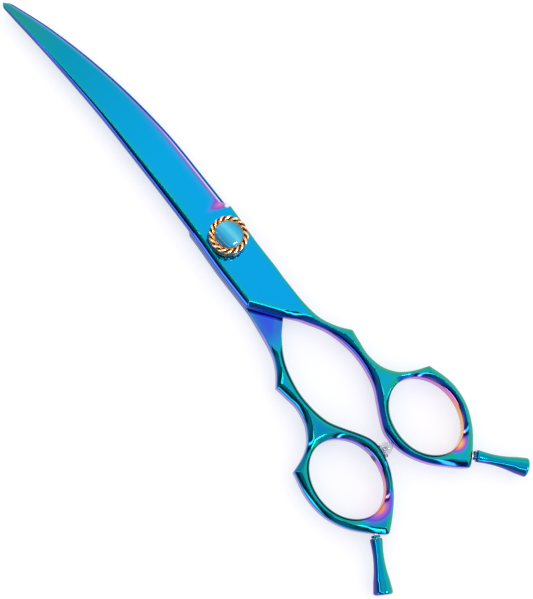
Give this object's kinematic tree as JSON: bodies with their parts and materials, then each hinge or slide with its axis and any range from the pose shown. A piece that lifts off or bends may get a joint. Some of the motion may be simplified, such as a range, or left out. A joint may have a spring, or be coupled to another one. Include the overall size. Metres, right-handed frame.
{
  "type": "curved grooming shears",
  "caption": "Curved solid-blade hair and pet grooming shears with a gem-topped tension dial, a ring bumper and flared screw-in finger rests.",
  "frame": {"origin": "on the pivot axis, at the flat back of the pivot bolt's head", "axes": "+Z along the pivot axis from the bolt head to the gem, +Y from the pivot towards the blade tips, +X towards the front half's finger ring"},
  "size_m": [0.0602, 0.2039, 0.0121],
  "materials": {
    "coated_front": "mirror polished steel under a blue to teal titanium film",
    "coated_rear": "mirror polished steel under a blue to violet titanium film",
    "coated_rest": "mirror polished steel under a blue to violet titanium film",
    "dark_steel": "dark, fine turned",
    "bearing_steel": "ground",
    "bronze": "plain",
    "gold_plate": "polished gold plate",
    "cats_eye_glass": "polished, fibre-optic cat's-eye",
    "clear_silicone": "clear, soft gloss",
    "nylon": "natural"
  },
  "bodies": {
    "rear_assembly": {"rear_half": "coated_rear", "pivot_bolt": "dark_steel", "glide_washer": "nylon", "click_plate": "bearing_steel", "bumper": "clear_silicone", "bumper_stem": "nylon", "rest_stud_rear": "bearing_steel", "rest_collar_rear": "coated_rest", "finger_rest_rear": "coated_rest"},
    "front_assembly": {"front_half": "coated_front", "tang_bushing": "bronze", "rest_stud_front": "bearing_steel", "rest_collar_front": "coated_rest", "finger_rest_front": "coated_rest"},
    "ball_cage": {"bearing_cage": "bronze", "bearing_ball_1": "bearing_steel", "bearing_ball_2": "bearing_steel", "bearing_ball_3": "bearing_steel", "bearing_ball_4": "bearing_steel", "bearing_ball_5": "bearing_steel", "bearing_ball_6": "bearing_steel", "bearing_ball_7": "bearing_steel", "bearing_ball_8": "bearing_steel"},
    "tension_dial": {"tension_nut": "dark_steel", "gem_cup": "gold_plate", "rope_ring": "gold_plate", "cabochon": "cats_eye_glass"}
  },
  "joints": [
    {"name": "blade_pivot", "type": "hinge", "parent": "rear_assembly", "child": "front_assembly", "pos_m": [0, 0, 0.00405], "axis": [0, 0, 1], "range_deg": [0, 65]},
    {"name": "cage_orbit", "type": "hinge", "parent": "rear_assembly", "child": "ball_cage", "pos_m": [0, 0, 0.00405], "axis": [0, 0, 1], "range_deg": [0, 33]},
    {"name": "dial_turn", "type": "hinge", "parent": "rear_assembly", "child": "tension_dial", "pos_m": [0, 0, 0.00405], "axis": [0, 0, 1], "range_deg": [-60, 60]}
  ],
  "couplings": [
    {"joint": "cage_orbit", "follows": "blade_pivot", "ratio": 0.5}
  ]
}
